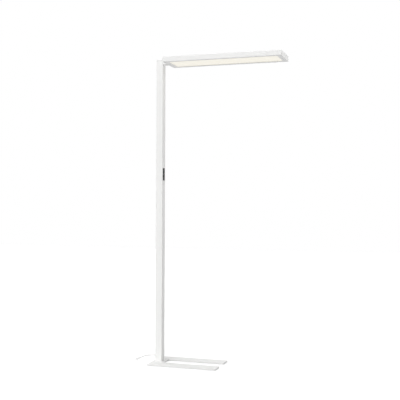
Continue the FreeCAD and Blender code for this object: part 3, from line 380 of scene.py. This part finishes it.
def soft_sun(name, place, share, spread):
    """An even light from one direction: a white surface that faces it shows as that share."""
    light = bpy.data.lights.new(name, "SUN")
    light.energy = math.pi * share
    light.angle = math.radians(spread)
    add_lamp(light, place, (0, 0, 0))


def soft_box(name, place, aim, size, spread, power):
    """A square soft lamp whose light narrows to a cone."""
    light = bpy.data.lights.new(name, "AREA")
    light.shape = "SQUARE"
    light.size = size
    light.spread = math.radians(spread)
    light.energy = power
    add_lamp(light, place, aim)


def shown_white(nodes, links):
    """1 for rays from the camera, a glossy surface or a clear one, and 0 for other rays."""
    path = nodes.new("ShaderNodeLightPath")
    total = path.outputs["Is Camera Ray"]
    for name in ("Is Glossy Ray", "Is Transmission Ray"):
        most = nodes.new("ShaderNodeMath")
        most.operation = "MAXIMUM"
        links.new(total, most.inputs[0])
        links.new(path.outputs[name], most.inputs[1])
        total = most.outputs["Value"]
    return total


class FLOORLAMP_OT_studio(bpy.types.Operator):
    """Make the pale floor, the white surroundings and the soft lamps"""

    bl_idname = "floorlamp.studio"
    bl_label = "Studio"

    def execute(self, context):
        studio = context.scene.studio_settings
        self.make_floor(studio)
        self.make_surroundings(context.scene, studio)
        for name, (place, spread) in SUNS.items():
            soft_sun(f"{name}_light", place, getattr(studio, name), spread)
        soft_box("side_lamp", *SIDE_LAMP, studio.side_power)
        context.scene.view_settings.view_transform = "Standard"
        return {"FINISHED"}

    def make_floor(self, studio):
        """A wide floor that is white where nothing shades it."""
        corners = [(x * FLOOR_REACH, y * FLOOR_REACH, 0)
                   for x, y in ((-1, -1), (1, -1), (1, 1), (-1, 1))]
        mesh = bpy.data.meshes.new("floor")
        mesh.from_pydata(corners, [], [(0, 1, 2, 3)])
        floor = bpy.data.objects.new("floor", mesh)
        bpy.context.scene.collection.objects.link(floor)
        material, nodes, links = new_material("studio_floor")
        matt = nodes["Principled BSDF"]
        matt.inputs["Base Color"].default_value = (*studio.floor, 1)
        matt.inputs["Roughness"].default_value = 0.9
        matt.inputs["Specular IOR Level"].default_value = 0.1
        lift = nodes.new("ShaderNodeEmission")
        scale = nodes.new("ShaderNodeMath")
        scale.operation = "MULTIPLY"
        scale.inputs[1].default_value = studio.floor_lift
        links.new(shown_white(nodes, links), scale.inputs[0])
        links.new(scale.outputs["Value"], lift.inputs["Strength"])
        both = nodes.new("ShaderNodeAddShader")
        links.new(matt.outputs["BSDF"], both.inputs[0])
        links.new(lift.outputs["Emission"], both.inputs[1])
        links.new(both.outputs["Shader"], nodes["Material Output"].inputs["Surface"])
        mesh.materials.append(material)

    def make_surroundings(self, scene, studio):
        """A world that looks white and gives a weaker, even light."""
        world = bpy.data.worlds.new("surroundings")
        world.use_nodes = True
        scene.world = world
        nodes, links = world.node_tree.nodes, world.node_tree.links
        white = nodes["Background"]
        white.inputs["Color"].default_value = (1, 1, 1, 1)
        even = nodes.new("ShaderNodeBackground")
        even.inputs["Color"].default_value = (1, 1, 1, 1)
        even.inputs["Strength"].default_value = studio.sky
        mix = nodes.new("ShaderNodeMixShader")
        links.new(shown_white(nodes, links), mix.inputs["Fac"])
        links.new(even.outputs["Background"], mix.inputs[1])
        links.new(white.outputs["Background"], mix.inputs[2])
        links.new(mix.outputs["Shader"], nodes["World Output"].inputs["Surface"])


class FLOORLAMP_OT_camera(bpy.types.Operator):
    """Set the camera at the photograph's viewing angle"""

    bl_idname = "floorlamp.camera"
    bl_label = "Camera"

    def execute(self, context):
        lens = bpy.data.cameras.new("camera")
        lens.lens = FOCAL_LENGTH
        lens.sensor_width = SENSOR_WIDTH
        lens.clip_end = VIEW_DEPTH
        camera = bpy.data.objects.new("camera", lens)
        turn, rise, roll = (math.radians(angle) for angle in CAMERA_ANGLES)
        ahead = Vector((-math.sin(turn) * math.cos(rise), math.cos(turn) * math.cos(rise),
                        math.sin(rise)))
        level = Vector((math.cos(turn), math.sin(turn), 0))
        up = level.cross(ahead)
        right = math.cos(roll) * level - math.sin(roll) * up
        top = math.sin(roll) * level + math.cos(roll) * up
        facing = Matrix((right, top, -ahead)).transposed().to_4x4()
        camera.matrix_world = Matrix.Translation(CAMERA_PLACE) @ facing
        context.scene.collection.objects.link(camera)
        context.scene.camera = camera
        return {"FINISHED"}


# ---------------------------------------------------------------- mains lead
def hank_frame(sizes):
    """The hank's middle on the floor, the direction along it and the one to its right."""
    along = np.array([math.cos(sizes.bearing), math.sin(sizes.bearing), 0.0])
    right = np.array([along[1], -along[0], 0.0])
    return along * sizes.distance, along, right


def hank_points(sizes):
    """The middle line of the hank: turns round a racetrack that the tie pinches in the middle.

    The innermost turn's legs lie at loop - (loop - waist) * (1 + cos(pi * u / half)) / 2 from
    the middle line, with u along the hank, and half circles join them. Each round is pushed
    outwards and raised by whole diameters, and turns change places over the last part of a
    round. Over the tie the lead rises by tie_rise * exp(-(u / tie_reach)^2).
    """
    first, change_from, tie_rise, tie_reach, steps = 0.045, 0.72, 0.001, 0.014, 24
    half, loop, thick = sizes.half_length, sizes.loop, sizes.diameter
    u = np.linspace(-half, half, 400)
    leg = loop - (loop - sizes.waist) * (1 + np.cos(np.pi * u / half)) / 2
    bend = np.linspace(0, np.pi, 160)[1:-1]
    track = np.concatenate([
        np.stack([u, -leg], 1),
        np.stack([half + loop * np.sin(bend), -loop * np.cos(bend)], 1),
        np.stack([u[::-1], leg[::-1]], 1),
        np.stack([-half - loop * np.sin(bend), loop * np.cos(bend)], 1),
    ])
    track = np.vstack([track, track[:1]])
    way = np.concatenate([[0], np.cumsum(np.hypot(*np.diff(track, axis=0).T))])
    way /= way[-1]

    def at(share):
        return np.stack([np.interp(share % 1, way, track[:, k]) for k in (0, 1)], 1)

    rounds = np.arange(sizes.turns * steps + 1) / steps
    share = first + rounds
    middle = at(share)
    ahead = at(share + 0.003) - at(share - 0.003)
    ahead /= np.hypot(*ahead.T)[:, None]
    outwards = np.stack([ahead[:, 1], -ahead[:, 0]], 1)
    change = np.floor(rounds) + smooth_step((rounds % 1 - change_from) / (1 - change_from))
    push = np.interp(change, range(len(TURN_OUTWARDS)), TURN_OUTWARDS) * thick
    layer = np.interp(change, range(len(TURN_UPWARDS)), TURN_UPWARDS) * thick
    over_tie = tie_rise * np.exp(-(middle[:, 0] / tie_reach) ** 2)
    plan = middle + push[:, None] * outwards
    foot, along, right = hank_frame(sizes)
    points = foot + plan[:, :1] * along + plan[:, 1:] * right
    points[:, 2] = thick / 2 + layer + over_tie
    return points


class FLOORLAMP_OT_lead(bpy.types.Operator):
    """Lay the mains lead on the floor, with its spare length in a tied hank"""

    bl_idname = "floorlamp.lead"
    bl_label = "Mains Lead"

    def execute(self, context):
        sizes = context.scene.lead_sizes
        points = np.vstack([LEAD_ROUTE, hank_points(sizes)[1:-1], TAIL_ROUTE])
        curve = bpy.data.curves.new("lead", "CURVE")
        curve.dimensions = "3D"
        curve.bevel_depth = sizes.diameter / 2
        curve.bevel_resolution = 5
        curve.resolution_u = 6
        curve.use_fill_caps = True
        line = curve.splines.new("NURBS")
        line.points.add(len(points) - 1)
        line.points.foreach_set("co", np.column_stack([points, np.ones(len(points))]).ravel())
        line.order_u = 3
        line.use_endpoint_u = True
        lead = bpy.data.objects.new("mains_lead", curve)
        context.scene.collection.objects.link(lead)
        curve.materials.append(jacket_finish(context.scene.lamp_finish))
        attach(lead, "lamp")
        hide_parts("mains_cord", "cord_hank")
        return {"FINISHED"}


def jacket_finish(colours):
    """White flexible plastic with a faint sheen and a fine grain."""
    known = bpy.data.materials.get("lead_jacket")
    return known or finish("lead_jacket", colours.jacket, 0.42, 900, 0.00004, spread=0.015,
                           waves=(18, 0.0004), Specular_IOR_Level=0.45)


class FLOORLAMP_OT_tie(bpy.types.Operator):
    """Put the hook-and-loop tie round the hank's waist"""

    bl_idname = "floorlamp.tie"
    bl_label = "Hank Tie"

    width: FloatProperty(name="Width", description="Width of the band", subtype="DISTANCE",
                         unit="LENGTH", default=0.012)
    thickness: FloatProperty(name="Thickness", description="Thickness of the band",
                             subtype="DISTANCE", unit="LENGTH", default=0.0009)

    def execute(self, context):
        sizes = context.scene.lead_sizes
        fabric = finish("tie_fabric", (0.055, 0.055, 0.06), 0.9, 1500, 0.0002, spread=0.25,
                        Sheen_Weight=0.35, Specular_IOR_Level=0.2)
        band = skin("hank_tie", self.band(sizes))
        piece = add_piece("hank_tie", [band], fabric, "lamp")
        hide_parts("cord_tie")
        return {"FINISHED"}

    def band(self, sizes):
        """A strap wound one and a quarter times round the bundle.

        Round the hull of the cords' circles, the point at turn a is the circle's centre that
        lies furthest along (cos a, sin a), plus that direction times the wrap's radius. The
        radius grows by one thickness where the strap climbs over its own start. The strap is
        4% thinner than its climb, so that its turns don't touch.
        """
        end, climb_from, climb_to = 2.55 * math.pi, 1.75 * math.pi, 2 * math.pi
        thick, cord = self.thickness, sizes.diameter / 2
        row = sizes.waist + 3 * cord
        low = cord + thick
        centres = np.array([(row, low), (-row, low), (-row, 3 * cord), (-cord, 5 * cord),
                            (row, 5 * cord)])
        turn = np.linspace(0, end, 150)
        facing = np.stack([np.cos(turn), np.sin(turn)], 1)
        hull = centres[np.argmax(facing @ centres.T, axis=1)]
        climb = thick * smooth_step((turn - climb_from) / (climb_to - climb_from))
        inner = hull + (cord + climb)[:, None] * facing
        outer = inner + thick * 0.96 * facing
        edge = self.width / 2
        foot, along, right = hank_frame(sizes)
        ring = []
        for line, shift in ((inner, -edge), (outer, -edge), (outer, edge), (inner, edge)):
            place = foot + shift * along - line[:, :1] * right
            place[:, 2] = line[:, 1]
            ring.append(place)
        return np.stack(ring, axis=1)


class FLOORLAMP_OT_strain_relief(bpy.types.Operator):
    """Make the ribbed strain relief where the lead leaves the column"""

    bl_idname = "floorlamp.strain_relief"
    bl_label = "Strain Relief"

    ribs: IntProperty(name="Ribs", description="Ribs along the sleeve", min=2, max=12, default=6)

    def execute(self, context):
        low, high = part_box("cord_gland")
        foot = np.array([high.x, 0, (low.z + high.z) / 2])
        sleeve = skin("strain_relief", self.sleeve(foot, high.x - low.x))
        rubber = jacket_finish(context.scene.lamp_finish)
        piece = add_piece("strain_relief", [sleeve], rubber, "lamp")
        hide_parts("cord_gland")
        return {"FINISHED"}

    def sleeve(self, foot, length):
        """A sleeve turned about the lead, with slots that leave a spine on alternate sides.

        Its radius is that of the thread, the flange and then a cone from 6.8 to 4.2 mm. For t
        along the cone and a round it, a slot takes 1.3 mm off where cos(2 pi ribs t) is low,
        times a blend of 0.35 to 1 that follows cos(2a) with alternate sign.
        """
        cone_from, wide, narrow, tip, slot_depth = 0.0097, 0.0068, 0.0042, 0.0036, 0.0013
        t = np.linspace(0, 1, 97)
        cone = np.stack([wide - (wide - narrow) * t, cone_from + (length - cone_from) * t], 1)
        profile = np.vstack([FLANGE_PROFILE, cone, (tip, length - 0.000001)])
        turn = full_turn(48)
        phase = self.ribs * t
        slot = smooth_step((0.35 - np.cos(2 * math.pi * phase)) / 0.5)
        slot *= smooth_step(t / 0.05) * smooth_step((1 - t) / 0.06)
        side = np.where(np.floor(phase) % 2 == 0, 1.0, -1.0)
        blend = 0.675 + 0.325 * np.tanh(3 * side[:, None] * np.cos(2 * turn))
        radius = np.tile(profile[:, :1], len(turn))
        radius[len(FLANGE_PROFILE):-1] -= slot_depth * slot[:, None] * blend
        return turned_along(radius, profile[:, 1], foot, (-1, 0, 0))


class FLOORLAMP_OT_plug(bpy.types.Operator):
    """Make the moulded plug at the end of the lead"""

    bl_idname = "floorlamp.plug"
    bl_label = "Plug"

    def execute(self, context):
        body = skin("plug", self.body(context.scene.lead_sizes))
        rubber = jacket_finish(context.scene.lamp_finish)
        piece = add_piece("plug", [body], rubber, "lamp")
        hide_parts("plug_body")
        pins = finish("plug_nickel", (0.72, 0.70, 0.66), 0.22, 600, 0.00001,
                      stretch=(1, 1, 8), spread=0.03, Metallic=1.0)
        dress_nodes(pins, "plug_pins")
        return {"FINISHED"}

    def body(self, sizes):
        """A sleeve that opens into a round plug with finger grips.

        Radius against distance follows points of the CAD profile, evened out over seven rows.
        The sleeve has ring grooves 0.9 mm deep. Round the grip the radius loses 0.8 mm where
        |cos a| is above 0.62, in ridges along the plug.
        """
        groove_depth, ridge_depth = 0.9, 0.8
        foot, along, _ = hank_frame(sizes)
        start = foot + PLUG_START * along + np.array([0, 0, PLUG_HEIGHT])
        rim_way, rim_radius = np.transpose(PLUG_RIM)
        way = np.concatenate([[0.0], np.linspace(0.5, 62, 150), rim_way])
        radius = np.interp(way, *np.transpose(PLUG_PROFILE))
        radius = np.convolve(np.pad(radius, 3, mode="edge"), np.full(7, 1 / 7), "valid")
        radius[-len(rim_radius):] = rim_radius
        groove = self.ripples(way, 4, 22, 4.2, 0.45, 0.35)
        ridge = self.ripples(way, 42, 58, 3.2, -0.2, 0.6)
        grip = smooth_step((np.abs(np.cos(full_turn(72))) - 0.62) / 0.08)
        cut = groove_depth * groove[:, None] + ridge_depth * ridge[:, None] * grip
        return turned_along((radius[:, None] - cut) / 1000, way / 1000, start, along)

    def ripples(self, way, start, end, pitch, level, blur):
        """0 to 1 as cos(2 pi s / pitch) goes from level to level + blur, from start to end.

        It fades in and out over 2 mm at the two ends.
        """
        crest = smooth_step((np.cos(2 * math.pi * way / pitch) - level) / blur)
        return crest * smooth_step((way - start) / 2) * smooth_step((end - way) / 2)


# ---------------------------------------------------------------- control
class FLOORLAMP_OT_keys(bpy.types.Operator):
    """Make the three dished keys with their raised marks, and finish the frame round them"""

    bl_idname = "floorlamp.keys"
    bl_label = "Control Keys"

    dish: FloatProperty(name="Dish", description="How deep a key's face is dished",
                        subtype="DISTANCE", unit="LENGTH", default=0.0004)

    def execute(self, context):
        colours = context.scene.lamp_finish
        cap = finish("key_plastic", colours.keys, 0.6, 1400, 0.00006, spread=0.05,
                     Specular_IOR_Level=0.2)
        mark = finish("mark_plastic", (0.55, 0.55, 0.55), 0.5, 1400, 0.00003, spread=0.03)
        for name, parts in (("brighter", self.plus), ("power", self.standby),
                            ("dimmer", self.bar)):
            node = f"key_{name}"
            low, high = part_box(node)
            shell = skin(node, self.cap(low, high))
            piece = add_piece(f"{name}_key", [shell], cap, name)
            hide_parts(node)
            middle = np.array([high.x, 0, (low.z + high.z) / 2])
            marks = [skin(f"{name}_mark", grid) for grid in parts(middle)]
            add_piece(f"{name}_mark", marks, mark, name)
        frame_finish = finish("control_plastic", colours.control, 0.6, 1600, 0.00008,
                              spread=0.05, Specular_IOR_Level=0.2)
        dress_nodes(frame_finish, "control_bezel")
        return {"FINISHED"}

    def cap(self, low, high):
        """A key's skin from its lip at the back to the middle of its dished face.

        Each row is the superellipse |y / b|^10 + |z / c|^10 = 1 at one depth. The half sizes
        follow the lip, the straight side, a quarter circle of 0.7 mm and then shrink to the
        middle, where the face lies dish * (1 - f^2) lower, for f from 1 at the rim to 0.
        """
        lip, lip_depth, edge, straight_end, power = 0.0007, 0.0008, 0.0007, 0.0002, 10
        b, c = (high.y - low.y) / 2 - lip, (high.z - low.z) / 2 - lip
        bend = np.linspace(0, math.pi / 2, 7)
        face = np.linspace(1, 0.04, 18)[1:]
        side = [(-lip, low.x), (-lip, low.x + lip_depth), (0, low.x + lip_depth),
                (0, high.x - edge - straight_end)]
        rim = np.stack([edge * (1 - np.cos(bend)), high.x - edge * (1 - np.sin(bend))], 1)
        dish = np.stack([np.full_like(face, edge), high.x - self.dish * (1 - face ** 2)], 1)
        inset, depth = np.vstack([side, rim, dish]).T
        scale = np.concatenate([np.ones(len(side) + len(rim)), face])
        turn = full_turn(72)
        reach = superellipse(turn, power)
        y = np.outer((b - inset) * scale, reach * np.cos(turn))
        z = np.outer((c - inset) * scale, reach * np.sin(turn)) + (low.z + high.z) / 2
        return np.stack([np.broadcast_to(depth[:, None], y.shape), y, z], axis=2)

    def pill(self, middle, half_y, half_z):
        """A raised bar: a superellipsoid of exponent 4 in plan and 2 in section."""
        rise = np.linspace(-math.pi / 2, math.pi / 2, 13)[1:-1]
        turn = full_turn(32)
        reach = superellipse(turn, 4)
        ring = np.cos(rise)[:, None]
        y = middle[1] + half_y * ring * reach * np.cos(turn)
        z = middle[2] + half_z * ring * reach * np.sin(turn)
        x = middle[0] - self.dish + MARK_HEIGHT * np.sin(rise)[:, None] * np.ones_like(turn)
        return np.stack([x, y, z], axis=2)

    def bar(self, middle):
        """A level bar."""
        return [self.pill(middle, MARK_LENGTH, MARK_WIDTH)]

    def plus(self, middle):
        """A level bar and an upright one."""
        return [self.pill(middle, MARK_LENGTH, MARK_WIDTH),
                self.pill(middle, MARK_WIDTH, MARK_LENGTH)]

    def standby(self, middle):
        """An open ring and a stem: a tube of half width 0.5 mm along 300 degrees of a circle."""
        ring_radius, half_width, stem_length, stem_rise = 0.0033, 0.0005, 0.0021, 0.0029
        way = np.radians(np.linspace(120, 420, 60))
        section = full_turn(12)
        radius = ring_radius + half_width * np.cos(section)
        y = middle[1] + np.outer(np.cos(way), radius)
        z = middle[2] + np.outer(np.sin(way), radius)
        x = middle[0] - self.dish + MARK_HEIGHT * np.outer(np.ones_like(way), np.sin(section))
        stem = self.pill(middle + np.array([0, 0, stem_rise]), half_width, stem_length)
        return [np.stack([x, y, z], axis=2), stem]


# ---------------------------------------------------------------- finishes of the CAD pieces
class FLOORLAMP_OT_painted_metal(bpy.types.Operator):
    """Powder coat on the foot, the column, the neck and the head, with painted shade on the foot
    """

    bl_idname = "floorlamp.painted_metal"
    bl_label = "Painted Metal"

    def execute(self, context):
        # The foot has the same paint as the column, darkened by a factor. This is painted shade,
        # standing in for the shade that falls on the foot near the floor.
        plate_painted_shade = 0.93
        colour = context.scene.lamp_finish.paint
        plate_paint_with_painted_shade = [plate_painted_shade * share for share in colour]
        steel = finish("coated_plate_painted_shade", plate_paint_with_painted_shade, 0.48, 1100, 0.00006, spread=0.012,
                       waves=(2.5, 0.0002))
        dress_nodes(steel, "base_plate")
        drawn = finish("coated_extrusion", colour, 0.44, 1100, 0.00005, stretch=(1, 1, 0.02),
                       spread=0.012, waves=(2, 0))
        dress_nodes(drawn, "column_tube", "column_cap", "neck_block")
        sheet = finish("coated_sheet", colour, 0.44, 1300, 0.00004, spread=0.012,
                       waves=(2.5, 0.0001))
        dress_nodes(sheet, "head_housing", "top_cover")
        return {"FINISHED"}


class FLOORLAMP_OT_light_panels(bpy.types.Operator):
    """The opal sheet that shines down and the lens that shines up"""

    bl_idname = "floorlamp.light_panels"
    bl_label = "Light Panels"

    def execute(self, context):
        colours = context.scene.lamp_finish
        opal = self.panel("opal_acrylic", colours.opal, colours.glow, colours.glow_strength)
        dress_nodes(opal, "opal_diffuser")
        lens = self.panel("lens_acrylic", (0.8, 0.8, 0.8), colours.glow,
                          colours.glow_strength * 0.7)
        dress_nodes(lens, "uplight_lens")
        return {"FINISHED"}

    def panel(self, name, colour, glow, strength):
        """Acrylic with rows of tiny prisms, lit from behind.

        A wave texture repeats every 2 pi / (20 * scale), which is set to the prisms' pitch.
        """
        material, nodes, links = new_material(name)
        shader = nodes["Principled BSDF"]
        where = nodes.new("ShaderNodeTexCoord")
        normal = None
        for direction in ("X", "Y"):
            rows = nodes.new("ShaderNodeTexWave")
            rows.bands_direction = direction
            rows.wave_profile = "TRI"
            rows.inputs["Scale"].default_value = 2 * math.pi / (20 * PRISM_PITCH)
            links.new(where.outputs["Object"], rows.inputs["Vector"])
            normal = relief(nodes, links, rows.outputs["Fac"], 0.00025, 0.5, normal)
        slow = noise(nodes, links, (1, 1, 1), 4, 1.0)
        links.new(tint(nodes, links, slow, colour, 0.01), shader.inputs["Base Color"])
        links.new(normal, shader.inputs["Normal"])
        shader.inputs["Roughness"].default_value = 0.35
        shader.inputs["Emission Color"].default_value = (*glow, 1)
        shader.inputs["Emission Strength"].default_value = strength
        return material


class FLOORLAMP_OT_fittings(bpy.types.Operator):
    """Finish the screws, plates, pads, wires and boards"""

    bl_idname = "floorlamp.fittings"
    bl_label = "Fittings"

    def execute(self, context):
        zinc = finish("zinc_screws", (0.42, 0.42, 0.43), 0.34, 900, 0.00002, spread=0.08,
                      Metallic=1.0)
        dress_nodes(zinc, "foot_screws", "column_neck_screws", "head_neck_screws",
                    "cover_screws", "tray_screws", "carrier_screws", "driver_screws")
        plate = finish("zinc_plate", (0.6, 0.61, 0.62), 0.4, 500, 0.00002, stretch=(1, 1, 6),
                       spread=0.05, Metallic=1.0)
        dress_nodes(plate, "column_clamp_plate", "head_clamp_plate", "gear_tray",
                    "driver_carrier")
        rubber = finish("pad_rubber", (0.16, 0.16, 0.165), 0.8, 1200, 0.00015, spread=0.1)
        dress_nodes(rubber, "floor_pads", "foam_strips")
        nylon = finish("white_nylon", (0.8, 0.8, 0.77), 0.45, 800, 0.00004)
        dress_nodes(nylon, "gland_nut", "terminal_block", "led_driver", "head_connector",
                    "plunger_brighter", "plunger_power", "plunger_dimmer")
        wire = finish("wire_insulation", (0.75, 0.75, 0.75), 0.4, 500, 0.00003)
        dress_nodes(wire, "inner_lead", "driver_leads", "head_cable", "control_cable",
                    "light_leads")
        board = finish("board_white", (0.82, 0.84, 0.8), 0.35, 700, 0.00002)
        dress_nodes(board, "edge_strips", "uplight_boards", "reflector_sheet")
        green = finish("board_green", (0.03, 0.2, 0.08), 0.35, 700, 0.00003, spread=0.15)
        dress_nodes(green, "control_board")
        dark = finish("switch_plastic", (0.04, 0.04, 0.045), 0.45, 900, 0.00003)
        dress_nodes(dark, "tact_switches")
        clear = finish("guide_acrylic", (0.95, 0.97, 0.97), 0.1, 300, 0.00001,
                       Transmission_Weight=0.9)
        dress_nodes(clear, "light_guide")
        return {"FINISHED"}


# ---------------------------------------------------------------- panel and registration
OPERATORS = (
    FLOORLAMP_OT_studio, FLOORLAMP_OT_camera, FLOORLAMP_OT_painted_metal,
    FLOORLAMP_OT_light_panels, FLOORLAMP_OT_fittings, FLOORLAMP_OT_keys,
    FLOORLAMP_OT_strain_relief, FLOORLAMP_OT_plug, FLOORLAMP_OT_tie, FLOORLAMP_OT_lead,
)
GROUPS = {"lamp_finish": LampFinish, "lead_sizes": LeadSizes, "studio_settings": StudioSettings}


class FLOORLAMP_PT_panel(bpy.types.Panel):
    """Lists the lamp's operators and settings"""

    bl_idname = "FLOORLAMP_PT_panel"
    bl_label = "Floor Lamp"
    bl_space_type = "VIEW_3D"
    bl_region_type = "UI"
    bl_category = "Floor Lamp"

    def draw(self, context):
        for operator in OPERATORS:
            self.layout.operator(operator.bl_idname)
        for name, group in GROUPS.items():
            box = self.layout.box()
            for key in group.__annotations__:
                box.prop(getattr(context.scene, name), key)


def register():
    for kind in (*GROUPS.values(), *OPERATORS, FLOORLAMP_PT_panel):
        bpy.utils.register_class(kind)
    for name, group in GROUPS.items():
        setattr(bpy.types.Scene, name, PointerProperty(type=group))


def unregister():
    for name in GROUPS:
        delattr(bpy.types.Scene, name)
    for kind in (FLOORLAMP_PT_panel, *reversed(OPERATORS), *GROUPS.values()):
        bpy.utils.unregister_class(kind)


def main():
    register()
    for operator in OPERATORS:
        group, action = operator.bl_idname.split(".")
        getattr(getattr(bpy.ops, group), action)()


if __name__ == "__main__":
    main()
